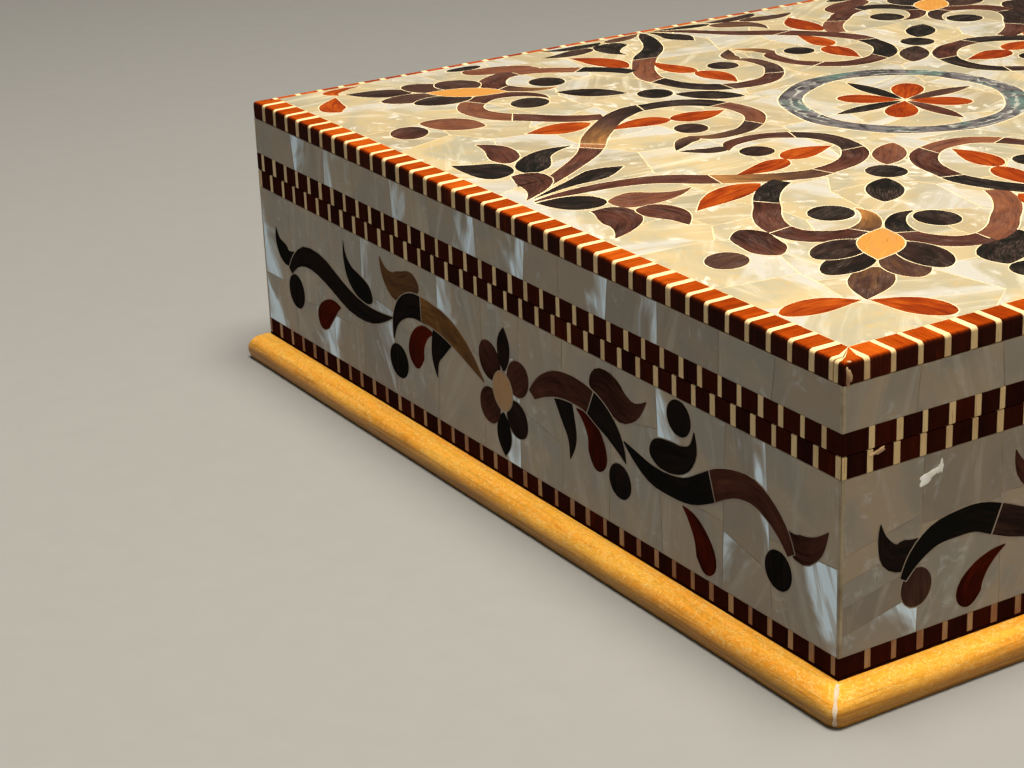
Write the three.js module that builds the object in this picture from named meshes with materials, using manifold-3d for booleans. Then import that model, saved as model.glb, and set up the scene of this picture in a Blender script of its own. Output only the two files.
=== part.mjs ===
// Shell box: a rectangular wooden box with a lift-off lid, veneered with mother of pearl between
// strips of two-colour banding, standing on a rounded base moulding.
// Millimetres, +Z up. The origin is the centre of the underside, and the front faces -Y.
import * as THREE from 'three';
import Module from 'manifold-3d';
import { mergeVertices } from 'three/addons/utils/BufferGeometryUtils.js';

const wasm = await Module();
wasm.setup();

// ---- driving dimensions
const length = 300; // along X, over the veneer
const depth = 320; // along Y, over the veneer
const veneer = 1.5; // pearl and banding, on every face that has them
const wall = 10; // carcass boards behind the veneer
const mouldingHeight = 9;
const mouldingOutset = 6.4; // how far the nose stands out from the veneer
const noseHeight = 3.2; // height of the moulding's furthest point
const mouldingUndercut = 1; // how far the nose is rounded back at the underside
const floorThickness = 6; // bottom panel, inside the moulding frame
const lowerBand = 6; // banding just above the moulding
const frieze = 46; // pearl field of the body
const seamBand = 5.8; // banding on either side of the seam between body and lid
const lidField = 11.6; // pearl field of the lid's sides
const edgeBand = 5.6; // height of the banding that frames the top
const edgeBandWidth = 7.8; // its width on top
const edgeRadius = 1.8; // its rounded outer arris
const panelThickness = 8; // lid board under the pearl
const lipThickness = 3; // locating lip on the body boards
const lipHeight = 3;
const lipSideGap = 0.2; // play between the lip and the lid's rebate
const lipTopGap = 0.3;

// ---- levels, from the ground up
const bandTop = mouldingHeight + lowerBand;
const friezeTop = bandTop + frieze;
const seam = friezeTop + seamBand;
const seamBandTop = seam + seamBand;
const lidFieldTop = seamBandTop + lidField;
const top = lidFieldTop + edgeBand;
const panelTop = top - veneer;
const panelBottom = panelTop - panelThickness;

// ---- distances inwards from the outer face of the veneer
const cavity = veneer + wall; // inner face of the boards
const lipFace = cavity - lipThickness; // outer face of the locating lip
const rebateFace = lipFace - lipSideGap;

// ---- the four sides: how far each reaches from the middle, its half width, and its turn about Z
const sides = [
  { name: 'front', reach: depth / 2, half: length / 2, turn: 0 },
  { name: 'right', reach: length / 2, half: depth / 2, turn: Math.PI / 2 },
  { name: 'back', reach: depth / 2, half: length / 2, turn: Math.PI },
  { name: 'left', reach: length / 2, half: depth / 2, turn: -Math.PI / 2 },
];

// ---- finishes
const finish = (color, roughness) => new THREE.MeshStandardMaterial({ color, roughness, metalness: 0 });
const pearl = finish(0xcfc8b8, 0.2);
const banding = finish(0x4a1a10, 0.3);
const carcassWood = finish(0x9a6a3c, 0.55);
const mouldingWood = finish(0xc98a3e, 0.4);

const box = new THREE.Group();

function addMesh(name, geometry, material, turn = 0) {
  const mesh = new THREE.Mesh(geometry, material);
  mesh.name = name;
  mesh.rotation.z = turn;
  box.add(mesh);
}

// An outline in (inward, up) coordinates, closed by the shape itself.
const outline = (...points) => new THREE.Shape(points.map(([inward, up]) => new THREE.Vector2(inward, up)));
const slab = (inner, low, high) => outline([0, low], [inner, low], [inner, high], [0, high]);

// A section carried along one side of the box. Its outline is drawn in (inward, up) coordinates from the
// veneer's outer face. A mitred end follows the 45 degree corner, and a square one stops endInset short.
function strip(section, { reach, half }, { mitred = true, endInset = 0 } = {}) {
  const geometry = new THREE.ExtrudeGeometry(section, { depth: 1, bevelEnabled: false, curveSegments: 6 });
  const position = geometry.attributes.position;
  for (let i = 0; i < position.count; i += 1) {
    const inward = position.getX(i);
    const direction = position.getZ(i) > 0.5 ? 1 : -1;
    const end = half - (mitred ? inward : endInset);
    position.setXYZ(i, direction * end, inward - reach, position.getY(i));
  }
  geometry.computeVertexNormals();
  return geometry;
}

// The same section on all four sides, one named piece each.
function addStrips(prefix, section, material, options) {
  for (const side of sides) {
    addMesh(`${prefix}_${side.name}`, strip(section, side, options), material, side.turn);
  }
}

// Front and back boards run the full width of the carcass, and the side boards are butted between them.
function addBoards(prefix, section) {
  for (const side of sides) {
    const between = side.name === 'left' || side.name === 'right';
    const options = { mitred: false, endInset: between ? cavity : veneer };
    addMesh(`${prefix}_${side.name}`, strip(section, side, options), carcassWood, side.turn);
  }
}

// Rounded base moulding: an elliptical shoulder from the wall down to the nose, rounded back below it,
// with a flat part under the walls that the body boards stand on.
function mouldingSection() {
  const section = new THREE.Shape();
  section.moveTo(cavity, 0);
  section.lineTo(cavity, mouldingHeight);
  section.lineTo(0, mouldingHeight);
  section.absellipse(0, noseHeight, mouldingOutset, mouldingHeight - noseHeight, Math.PI / 2, Math.PI, false);
  const underside = mouldingUndercut - mouldingOutset;
  section.quadraticCurveTo(-mouldingOutset, 0, underside, 0);
  return section;
}

// Banding that frames the top: a square strip let into the lid's edge, with its outer arris rounded.
function edgeBandSection() {
  const section = new THREE.Shape();
  section.moveTo(edgeBandWidth, lidFieldTop);
  section.lineTo(edgeBandWidth, top);
  section.lineTo(edgeRadius, top);
  section.absarc(edgeRadius, top - edgeRadius, edgeRadius, Math.PI / 2, Math.PI, false);
  section.lineTo(0, lidFieldTop);
  return section;
}

// Body board: the inner part rises past the seam as the lip that locates the lid.
function bodyBoardSection() {
  return outline(
    [veneer, mouldingHeight],
    [cavity, mouldingHeight],
    [cavity, seam + lipHeight],
    [lipFace, seam + lipHeight],
    [lipFace, seam],
    [veneer, seam],
  );
}

// Lid board: rebated along its lower inner edge to sit over the lip.
function lidBoardSection() {
  const rebateTop = seam + lipHeight + lipTopGap;
  return outline(
    [veneer, seam],
    [rebateFace, seam],
    [rebateFace, rebateTop],
    [cavity, rebateTop],
    [cavity, panelBottom],
    [veneer, panelBottom],
  );
}

// A box given by how far it stays inside the veneer's outer faces and its lowest and highest level.
function block(inset, low, high) {
  const geometry = new THREE.BoxGeometry(length - 2 * inset, depth - 2 * inset, high - low);
  geometry.translate(0, 0, (low + high) / 2);
  return geometry;
}

function toSolid(geometry) {
  const bare = geometry.clone();
  bare.deleteAttribute('normal');
  bare.deleteAttribute('uv');
  const merged = mergeVertices(bare, 1e-4);
  return new wasm.Manifold(new wasm.Mesh({
    numProp: 3,
    vertProperties: Float32Array.from(merged.attributes.position.array),
    triVerts: Uint32Array.from(merged.index.array),
  }));
}

function toGeometry(solid) {
  const mesh = solid.getMesh();
  const geometry = new THREE.BufferGeometry();
  geometry.setAttribute('position', new THREE.BufferAttribute(mesh.vertProperties, 3));
  geometry.setIndex(new THREE.BufferAttribute(mesh.triVerts, 1));
  geometry.computeVertexNormals();
  return geometry;
}

// Lid board: full size below, and cut back above so that the edge banding sits in a rebate all round.
function lidPanel() {
  const lower = toSolid(block(veneer, panelBottom, lidFieldTop));
  const upper = toSolid(block(edgeBandWidth, lidFieldTop, panelTop));
  return toGeometry(lower.add(upper));
}

// ---- body
addStrips('base_moulding', mouldingSection(), mouldingWood);
addMesh('bottom_panel', block(cavity, 0, floorThickness), carcassWood);
addBoards('body_board', bodyBoardSection());
addStrips('body_lower_band', slab(veneer, mouldingHeight, bandTop), banding);
addStrips('body_pearl', slab(veneer, bandTop, friezeTop), pearl);
addStrips('body_upper_band', slab(veneer, friezeTop, seam), banding);

// ---- lid
addBoards('lid_board', lidBoardSection());
addMesh('lid_top_board', lidPanel(), carcassWood);
addStrips('lid_lower_band', slab(veneer, seam, seamBandTop), banding);
addStrips('lid_pearl', slab(veneer, seamBandTop, lidFieldTop), pearl);
addStrips('lid_edge_band', edgeBandSection(), banding);
addMesh('lid_top_pearl', block(edgeBandWidth, panelTop, top), pearl);

export default box;
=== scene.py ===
import bmesh
import bpy
import numpy as np
from mathutils import Matrix, Vector


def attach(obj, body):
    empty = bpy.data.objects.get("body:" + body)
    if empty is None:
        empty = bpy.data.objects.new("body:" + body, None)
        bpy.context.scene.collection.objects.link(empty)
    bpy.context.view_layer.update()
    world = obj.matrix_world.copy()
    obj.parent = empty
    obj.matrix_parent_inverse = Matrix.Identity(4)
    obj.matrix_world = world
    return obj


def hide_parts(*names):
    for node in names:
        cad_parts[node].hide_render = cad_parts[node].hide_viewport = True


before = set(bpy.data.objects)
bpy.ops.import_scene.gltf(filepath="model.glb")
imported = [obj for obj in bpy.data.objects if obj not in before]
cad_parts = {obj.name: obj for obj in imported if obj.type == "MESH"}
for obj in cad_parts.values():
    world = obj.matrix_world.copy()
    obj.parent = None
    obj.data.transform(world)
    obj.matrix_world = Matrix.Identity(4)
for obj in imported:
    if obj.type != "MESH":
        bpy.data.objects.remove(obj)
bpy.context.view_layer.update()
print("stage: frame loaded")

# every length below is in millimetres; makePiece turns them into metres
toMetres = 0.001
weld = 2e-6  # metres, points closer than this become one
wallNames = ["front", "right", "back", "left"]
wallHalf = {"front": 150.0, "right": 160.0, "back": 150.0, "left": 160.0}  # half of each wall's width
wallOut = {"front": 160.0, "right": 150.0, "back": 160.0, "left": 150.0}  # and how far out it stands
boxTop = 89.8


def pointsAt(x, y, height):
    # coordinates to points, the height spread over the shape of x
    return np.stack([x, y, height + 0 * x], axis=-1)


def onWall(wall, along, outset, height):
    # along runs to the right as one faces the wall from outside, outset is away from the box
    turn = wallNames.index(wall) * np.pi / 2
    out = wallOut[wall] + outset
    x = along * np.cos(turn) + out * np.sin(turn)
    y = along * np.sin(turn) - out * np.cos(turn)
    return pointsAt(x, y, height)


def lengthAlong(path):
    # distance along a path to each of its points: the sum of the chords before it
    return np.concatenate([[0], np.cumsum(np.linalg.norm(np.diff(path, axis=0), axis=1))])


def quadsBetween(index):
    # a quad between each two neighbours of a closed row and the same two of the next row
    beside = np.roll(index, -1, axis=-1)
    corners = [index[..., :-1, :], beside[..., :-1, :], beside[..., 1:, :], index[..., 1:, :]]
    return np.stack(corners, axis=-1).reshape(-1, 4)


def stackRings(rings):
    # rings is (piece, section, corner, 3): quads between one section and the next, a cap at each end
    index = np.arange(rings.size // 3).reshape(rings.shape[:3])
    return rings.reshape(-1, 3), [quadsBetween(index), index[:, 0], index[:, -1, ::-1]]


def joinParts(parts):
    # each part is (points, face sets, marks); later parts' indices move up by the points before them
    points, faces, marks, base = [], [], {}, 0
    for partPoints, partFaces, partMarks in parts:
        points.append(partPoints)
        faces += [group + base for group in partFaces]
        for key, value in partMarks.items():
            marks.setdefault(key, []).append(value)
        base += len(partPoints)
    return np.concatenate(points), faces, {key: np.concatenate(value) for key, value in marks.items()}


def makePiece(name, points, faces, marks, material, slotName, smoothAngle=None):
    # marks are values kept on the points for the material; "uv" becomes the piece's own UV map
    mesh = bpy.data.meshes.new(name)
    faceList = [face for group in faces for face in group.tolist()]
    mesh.from_pydata((points * toMetres).tolist(), [], faceList)
    for key, value in marks.items():
        if key == "uv":
            corner = np.zeros(len(mesh.loops), dtype=np.int32)
            mesh.loops.foreach_get("vertex_index", corner)
            cornerUv = value[corner].astype(np.float32).ravel()
            mesh.uv_layers.new(name="UVMap").data.foreach_set("uv", cornerUv)
        else:
            mesh.attributes.new(key, "FLOAT", "POINT").data.foreach_set("value", value.astype(np.float32))
    work = bmesh.new()
    work.from_mesh(mesh)
    bmesh.ops.remove_doubles(work, verts=work.verts, dist=weld)
    bmesh.ops.recalc_face_normals(work, faces=work.faces)
    work.to_mesh(mesh)
    work.free()
    if smoothAngle:
        mesh.polygons.foreach_set("use_smooth", np.ones(len(mesh.polygons), dtype=bool))
        mesh.set_sharp_from_angle(angle=np.radians(smoothAngle))
    piece = bpy.data.objects.new(name, mesh)
    bpy.context.scene.collection.objects.link(piece)
    mesh.materials.append(material)
    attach(piece, "root")
    return piece


def curveAt(knots, at):
    # cubic through the knots, its slope at each the mean of the chords beside it weighted by their lengths
    knots = np.asarray(knots, dtype=float)
    span = np.linalg.norm(np.diff(knots[:, :2], axis=0), axis=1)
    place = np.concatenate([[0], np.cumsum(span)])
    chord = np.diff(knots, axis=0) / span[:, None]
    slope = np.empty_like(knots)
    slope[1:-1] = chord[:-1] * span[1:, None] + chord[1:] * span[:-1, None]
    slope[1:-1] /= (span[1:] + span[:-1])[:, None]
    slope[0], slope[-1] = 1.5 * chord[0] - 0.5 * slope[1], 1.5 * chord[-1] - 0.5 * slope[-2]
    s = np.clip(at, 0, place[-1])
    i = np.clip(np.searchsorted(place, s, side="right") - 1, 0, len(span) - 1)
    t = ((s - place[i]) / span[i])[:, None]
    reach = span[i][:, None]
    value = (knots[i] * (1 + 2 * t) * (1 - t) ** 2 + slope[i] * reach * t * (1 - t) ** 2
             + knots[i + 1] * t ** 2 * (3 - 2 * t) + slope[i + 1] * reach * t ** 2 * (t - 1))
    rate = (6 * t * (t - 1) * (knots[i] - knots[i + 1]) / reach
            + slope[i] * (1 - t) * (1 - 3 * t) + slope[i + 1] * t * (3 * t - 2))
    return value, rate, place


saw = {"gap": 0.2, "shortest": 0.5, "thinnest": 0.04, "steps": 22, "spineSteps": 15}


def sawnPiece(knots, ends, start=0, stop=np.inf, slants=(0, 0), grow=0.0):
    # outline of one sawn piece: a spine with a width at each knot, from knot number start to stop, both
    # edges as (step, edge, 2); an end is c for cut, p for pointed or r for round, which is a quarter
    # circle; a slant moves the two edges' ends opposite ways, and grow widens it, past uncut ends too
    knots = np.asarray(knots, dtype=float)
    _, _, place = curveAt(knots, np.zeros(1))
    first, last = np.interp((start, stop), np.arange(len(knots)), place)
    gap = saw["gap"] - grow
    first += gap if ends[0] == "c" else 0
    last -= gap if ends[1] == "c" else 0
    turn = (1 - np.cos(np.linspace(0, np.pi, saw["steps"]))) / 2
    uncut = np.where(turn > 0.5, ends[1] != "c", ends[0] != "c")
    edges = []
    for side in (1, -1):
        at = first + (last - first) * turn + side * (slants[0] * (1 - turn) + slants[1] * turn)
        value, rate, _ = curveAt(knots, at)
        half = value[:, 2] / 2
        for end, away in zip(ends, (at - first, last - at)):
            if end == "r":
                share = np.clip(away / max(half.max(), saw["shortest"]), 0, 1)
                half = half * np.sqrt(np.clip(1 - (1 - share) ** 2, 0, 1))
        half = np.maximum(half, saw["thinnest"]) + grow
        along = rate[:, :2] / np.linalg.norm(rate[:, :2], axis=1)[:, None]
        across = np.stack([-along[:, 1], along[:, 0]], axis=1)
        push = grow * (turn * 2 - 1) ** 9 * uncut
        edges.append(value[:, :2] + side * across * half[:, None] + along * push[:, None])
    return np.stack(edges, axis=1)


def leaf(root, belly, tip, width, shape=(1, 1)):
    # spine of a leaf through three points, its width growing as (s (2 - s)) to a power up to the belly
    path = np.array([[*root, 0], [*belly, 0], [*tip, 0]], dtype=float)
    _, _, place = curveAt(path, np.zeros(1))
    share = (1 - np.cos(np.linspace(0, np.pi, saw["spineSteps"]))) / 2
    value, _, _ = curveAt(path, place[-1] * share)
    middle = place[1] / place[-1]
    s = np.where(share < middle, share / middle, (1 - share) / (1 - middle))
    value[:, 2] = width * (s * (2 - s)) ** np.where(share < middle, shape[0], shape[1])
    return value


def oval(x, y, rx, ry):
    # spine of an oval: straight up, the width that of an ellipse
    a = np.cos(np.linspace(np.pi, 0, saw["spineSteps"]))
    return np.stack([x + 0 * a, y + ry * a, 2 * rx * np.sqrt(np.clip(1 - a * a, 0, 1))], axis=1)


def row(woods, path, ends="pp", **sawing):
    # one line of the inlay lists: woods, spine, the two ends and how it is sawn
    return woods, path, ends, sawing


def sawnRun(woods, path, ends, cuts, layer=0):
    # one spine sawn into a run of pieces; cuts are (knot number, slant) from its start to its end
    inner = "c" * (len(woods) - 1)
    run = []
    for wood, *pair, here, there in zip(woods, ends[0] + inner, inner + ends[1], cuts[:-1], cuts[1:]):
        (start, slantHere), (stop, slantThere) = here, there
        slants = (slantHere, slantThere)
        run.append(row(wood, path, pair, layer=layer, start=start, stop=stop, slants=slants))
    return run


print("stage: shape helpers")


class Wire:  # one output of a material's nodes, with arithmetic
    def __init__(self, tree, socket=None):
        self.tree, self.socket = tree, socket

    def node(self, kind, settings=None, values=None, out=0):
        made = self.tree.nodes.new("ShaderNode" + kind)
        for key, value in (settings or {}).items():
            if key == "stops":
                ramp = made.color_ramp.elements
                while len(ramp) < len(value):
                    ramp.new(0.5)
                for stop, (position, colour) in zip(ramp, value):
                    stop.position, stop.color = position, (*colour, 1)
            else:
                setattr(made, key, value)
        for key, value in (values or {}).items():
            if isinstance(value, Wire):
                self.tree.links.new(value.socket, made.inputs[key])
            else:
                made.inputs[key].default_value = value
        return Wire(self.tree, made.outputs[out])

    def maths(self, operation, *terms):
        return self.node("Math", {"operation": operation}, dict(enumerate(terms)))

    def clipped(self):
        return self.maths("MINIMUM", self.maths("MAXIMUM", self, 0.0), 1.0)

    def eased(self, low, high):  # 0 below low, 1 above high, smooth between
        return self.node("MapRange", {"interpolation_type": "SMOOTHSTEP"}, {0: self, 1: low, 2: high})

    def mixed(self, one, other):  # one where this is 0, the other where it is 1
        one, other = (side if isinstance(side, Wire) else (*side, 1) for side in (one, other))
        return self.node("Mix", {"data_type": "RGBA"}, {0: self, 6: one, 7: other}, out=2)

    def mark(self, name):  # a value kept on the piece's points
        return self.node("Attribute", {"attribute_name": name}, out=2)

    def stretched(self, *scale):
        return self.node("Mapping", None, {"Vector": self, "Scale": scale})

    def noise(self, scale, detail=3.0, roughness=0.55, distortion=0.0):
        values = {"Scale": scale, "Detail": detail, "Roughness": roughness, "Distortion": distortion}
        return self.node("TexNoise", None, {"Vector": self, **values})

    def bump(self, strength, distance):
        return self.node("Bump", None, {"Strength": strength, "Distance": distance, "Height": self})

    def __add__(self, other):
        return self.maths("ADD", self, other)

    def __radd__(self, other):
        return self.maths("ADD", other, self)

    def __sub__(self, other):
        return self.maths("SUBTRACT", self, other)

    def __rsub__(self, other):
        return self.maths("SUBTRACT", other, self)

    def __mul__(self, other):
        return self.maths("MULTIPLY", self, other)

    def __rmul__(self, other):
        return self.maths("MULTIPLY", other, self)


def newMaterial(name, **constants):
    # a Principled shader with constant sockets set; returns it, its first wire and a setter for the rest
    material = bpy.data.materials.new(name)
    material.use_nodes = True
    tree = material.node_tree
    shader = next(n for n in tree.nodes if n.type == "BSDF_PRINCIPLED")
    for key, value in constants.items():
        shader.inputs[key.replace("_", " ")].default_value = value

    def feed(**links):
        for key, wire in links.items():
            tree.links.new(wire.socket, shader.inputs[key.replace("_", " ")])

    return material, Wire(tree), feed


def darker(colour, share):
    # every channel times the share
    return tuple(share * c for c in colour)


def pearlMaterial(name, look):
    # nacre: soft clouds from ivory to silver over each tile, streaks along the tile's own lie, and in the
    # tiles marked for it a painted highlight, reflected light painted into the colour, that grows towards
    # one edge and is broken into fibres; patches of painted shimmer lighten the rest towards the same
    # colour
    material, wire, feed = newMaterial(name, Coat_Weight=look["coat"], Coat_Roughness=0.05,
                                       Specular_IOR_Level=look["shine"])
    seed = wire.mark("seed")
    shift = wire.node("CombineXYZ", None, {0: seed * 3.1, 1: seed * 1.7, 2: seed * 2.3})
    place = wire.node("VectorMath", {"operation": "ADD"}, {0: wire.node("TexCoord", out=3), 1: shift})
    lie = wire.node("UVMap", {"uv_map": "UVMap"})
    toEdge = wire.node("SeparateXYZ", None, {0: lie}, out=0)
    lie = wire.node("VectorMath", {"operation": "ADD"}, {0: lie, 1: shift})
    cloud = place.noise(38.0, 3.0, 0.5, 1.0)
    fine = place.noise(160.0, 3.0, 0.6, 1.4)
    streaks = lie.stretched(230.0, 26.0, 1.0).noise(1.0, 4.0, 0.6, 0.6)
    patches = lie.stretched(75.0, 45.0, 1.0).noise(1.0, 2.0, 0.5, 1.6)
    body = cloud.eased(0.36, 0.64).mixed(look["ivory"], look["silver"])
    body = (fine.eased(0.5, 0.75) * look["mottle"]).mixed(body, look["honey"])
    body = (wire.mark("tone") * 0.55).mixed(body, look["shade"])
    body = (streaks.eased(0.5, 0.72) * look["streak"]).mixed(body, look["pale"])
    # painted shimmer: patches lightened towards the highlight colour, a sheen painted into the colour
    paintedShimmer = fine.eased(0.5, 0.66) * patches.eased(0.5, 0.64) * look["paintedShimmer"]
    slope = (toEdge * 90.0 + patches * 2.4 - 1.25).eased(0.1, 0.9)
    # painted highlight: the flash of reflected light, painted into the colour and given more metallic
    gleam = (slope * (look["paintedFlash"] + streaks.eased(0.42, 0.6) * 0.9) * wire.mark("gleam")).clipped()
    body = gleam.mixed(paintedShimmer.mixed(body, look["gleam"]), look["gleam"])
    metal = (look["metal"] + cloud * 0.2 + gleam * 0.3).clipped()
    relief = (cloud + streaks * 0.3).bump(look["relief"], 0.0006)
    feed(Base_Color=body, Metallic=metal, Roughness=look["rough"] - cloud * 0.15, Normal=relief)
    return material


def inlayMaterial(name, stops, streak, gloss, shine=0.06, scratchSheen=0.0):
    # sawn wood or horn: the tone mark picks the colour, long fibres follow the piece's own length, and
    # the last argument is the share of pale brushed scratches, real wear lightened further as a painted
    # sheen
    material, wire, feed = newMaterial(name, Coat_Weight=gloss, Coat_Roughness=0.06,
                                       Specular_IOR_Level=shine)
    place = wire.node("UVMap", {"uv_map": "UVMap"})
    fibres = place.stretched(18.0, 250.0, 1.0).noise(4.0, 5.0, 0.65, 0.5)
    cloud = place.stretched(40.0, 120.0, 1.0).noise(2.2, 3.0, 0.5, 0.9)
    tone = wire.mark("tone") + (cloud - 0.5) * 0.35 * streak + (fibres - 0.5) * 0.5 * streak
    colour = wire.node("ValToRGB", {"stops": stops}, {0: tone.clipped()})
    colour = (fibres.eased(0.56, 0.7) * 0.7).mixed(colour, darker(stops[1][1], 0.35))
    if scratchSheen:
        brushed = place.stretched(260.0, 5200.0, 1.0).noise(1.0, 2.0, 0.6, 0.3)
        where = place.stretched(60.0, 160.0, 1.0).noise(1.0, 3.0, 0.6, 1.2)
        scratchSheenMask = brushed.eased(0.45, 0.7) * where.eased(0.42, 0.62) * scratchSheen
        # painted sheen: the pale scratches also stand for light caught in the lacquer
        colour = scratchSheenMask.mixed(colour, (0.30, 0.225, 0.20))
    feed(Base_Color=colour, Roughness=0.26 + fibres * 0.16, Normal=fibres.bump(0.15, 0.0003))
    return material


# each stop: place on the tone's scale, colour
hornStops = [(0.0, (0.006, 0.006, 0.005)), (0.25, (0.020, 0.011, 0.009)), (0.5, (0.055, 0.027, 0.020)),
             (0.75, (0.13, 0.062, 0.022)), (1.0, (0.32, 0.145, 0.045))]
roseStops = [(0.0, (0.020, 0.008, 0.006)), (0.35, (0.070, 0.025, 0.017)), (0.7, (0.155, 0.058, 0.030)),
             (1.0, (0.28, 0.12, 0.05))]
redStops = [(0.0, (0.026, 0.004, 0.002)), (0.35, (0.095, 0.009, 0.002)), (0.7, (0.22, 0.029, 0.002)),
            (1.0, (0.37, 0.075, 0.006))]
boxStops = [(0.0, (0.32, 0.20, 0.095)), (0.5, (0.46, 0.21, 0.042)), (1.0, (0.60, 0.34, 0.10))]
blockStops = [(0.0, (0.012, 0.003, 0.002)), (0.35, (0.040, 0.006, 0.002)), (0.7, (0.22, 0.029, 0.002)),
              (1.0, (0.42, 0.080, 0.006))]
stripStops = [(0.0, (0.25, 0.11, 0.048)), (0.5, (0.60, 0.44, 0.23)), (1.0, (0.78, 0.62, 0.34))]

# the gleam colour is that of the painted highlight, white on the top; flash and shimmer set how strongly
# it is painted
topPearlLook = {
    "ivory": (0.65, 0.54, 0.315), "silver": (0.505, 0.478, 0.35), "honey": (0.67, 0.48, 0.185),
    "shade": (0.41, 0.34, 0.215), "pale": (0.90, 0.86, 0.70), "gleam": (1.0, 1.0, 0.94),
    "mottle": 0.6, "streak": 0.6, "relief": 0.4, "paintedFlash": 0.7, "paintedShimmer": 0.8,
    "metal": 0.1, "rough": 0.38, "coat": 0.7, "shine": 0.5}
# the walls' pearl is the top's pearl darkened by painted shade, as the overhead lamp hardly reaches the
# walls; its blue gleam colour is a painted reflection of the window light
shadedWallPearlLook = {
    "ivory": (0.335, 0.275, 0.20), "silver": (0.25, 0.232, 0.198), "honey": (0.34, 0.25, 0.15),
    "shade": (0.17, 0.14, 0.115), "pale": (0.44, 0.42, 0.37), "gleam": (0.68, 0.85, 1.0),
    "mottle": 0.4, "streak": 0.35, "relief": 0.4, "paintedFlash": 0.6, "paintedShimmer": 0.15,
    "metal": 0.1, "rough": 0.42, "coat": 0.1, "shine": 0.2}
topPearl = pearlMaterial("nacre_top", topPearlLook)
shadedWallPearl = pearlMaterial("nacre_wall_painted_shade", shadedWallPearlLook)
# only the top's horn and rosewood carry the pale scratches with their painted sheen; the walls' copies
# have none
topWoods = {"horn": inlayMaterial("dark_horn", hornStops, 1.5, 0.04, 0.04, 0.24),
            "rose": inlayMaterial("rosewood", roseStops, 2.1, 0.04, 0.04, 0.26),
            "red": inlayMaterial("red_wood", redStops, 2.6, 0.06),
            "box": inlayMaterial("boxwood", boxStops, 1.8, 0.12)}
wallWoods = {"horn": inlayMaterial("wall_dark_horn", hornStops, 1.2, 0.015, 0.0),
             "rose": inlayMaterial("wall_rosewood", roseStops, 1.6, 0.015, 0.0),
             "red": inlayMaterial("wall_red_wood", redStops, 1.4, 0.015, 0.0),
             "box": inlayMaterial("wall_boxwood", boxStops, 0.8, 0.05, 0.1)}
edgeBlock = inlayMaterial("edge_block_wood", blockStops, 1.2, 0.05, 0.0)
wallBlock = inlayMaterial("wall_block_wood", blockStops, 0.9, 0.02, 0.0)
stripWood = inlayMaterial("band_strip_wood", stripStops, 0.8, 0.12, 0.1)


def glueMaterial(name, pale, dark):
    # clouds from pale to dark, rougher where dark
    material, wire, feed = newMaterial(name, Coat_Weight=0.1, Coat_Roughness=0.2, Specular_IOR_Level=0.3)
    cloud = wire.node("TexCoord", out=3).noise(160.0)
    colour = cloud.eased(0.3, 0.75).mixed(pale, dark)
    feed(Base_Color=colour, Roughness=0.45 + cloud * 0.2, Normal=cloud.bump(0.3, 0.0003))
    return material


topGlue = glueMaterial("top_glue_line", (0.80, 0.72, 0.50), (0.62, 0.50, 0.30))
# the walls' glue lines and pearl bed are the top's darkened by painted shade
shadedWallGlue = glueMaterial("wall_glue_line_painted_shade", (0.32, 0.27, 0.205), (0.20, 0.155, 0.115))
topBed = glueMaterial("top_pearl_bed", (0.76, 0.64, 0.40), (0.60, 0.46, 0.24))
shadedWallBed = glueMaterial("wall_pearl_bed_painted_shade", (0.30, 0.24, 0.155), (0.17, 0.12, 0.075))
seamFill = glueMaterial("corner_seam", (0.36, 0.31, 0.21), (0.20, 0.15, 0.09))


def abaloneMaterial(middle):
    # grey-lilac nacre touched with green, its silver veins being the crests of a sine of the distance
    # from the middle, pushed about by a noise
    material, wire, feed = newMaterial("abalone", Coat_Weight=0.6, Coat_Roughness=0.08,
                                       Specular_IOR_Level=0.3)
    place = wire.node("TexCoord", out=3)
    swirl = place.noise(70.0, 4.0, 0.65, 1.6)
    tint = place.noise(45.0, 2.0, 0.5, 1.0)
    away = wire.node("VectorMath", {"operation": "DISTANCE"}, {0: place, 1: middle}, out=1)
    veins = wire.maths("SINE", away * 1700.0 + swirl * 16.0).eased(0.55, 1.0)
    broken = place.noise(120.0, 2.0).eased(0.4, 0.62)
    colour = swirl.eased(0.35, 0.65).mixed((0.045, 0.042, 0.048), (0.20, 0.185, 0.20))
    colour = (tint.eased(0.52, 0.66) * 0.6).mixed(colour, (0.12, 0.25, 0.22))
    colour = (veins * broken * 0.9).mixed(colour, (0.80, 0.84, 0.78))
    feed(Base_Color=colour, Metallic=0.15 + veins * 0.3, Roughness=0.45 - veins * 0.2,
         Normal=(swirl + veins * 0.3).bump(0.5, 0.0004))
    return material


def boardMaterial(name, pale, dark):
    # straight grain with short flecks
    material, wire, feed = newMaterial(name, Coat_Weight=0.0, Coat_Roughness=0.25)
    place = wire.node("TexCoord", out=3)
    grain = place.stretched(6.0, 60.0, 60.0).noise(6.0, 5.0, 0.6, 0.4)
    flecks = place.stretched(60.0, 420.0, 420.0).noise(6.0, 3.0, 0.6)
    cloud = place.stretched(2.0, 8.0, 8.0).noise(6.0, 2.0)
    colour = (grain * 0.6 + cloud * 0.5).eased(0.35, 0.8).mixed(pale, dark)
    colour = (flecks.eased(0.58, 0.72) * 0.55).mixed(colour, darker(dark, 0.55))
    feed(Base_Color=colour, Roughness=0.42 + grain * 0.2, Normal=(grain + flecks * 0.5).bump(0.3, 0.0004))
    return material


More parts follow.
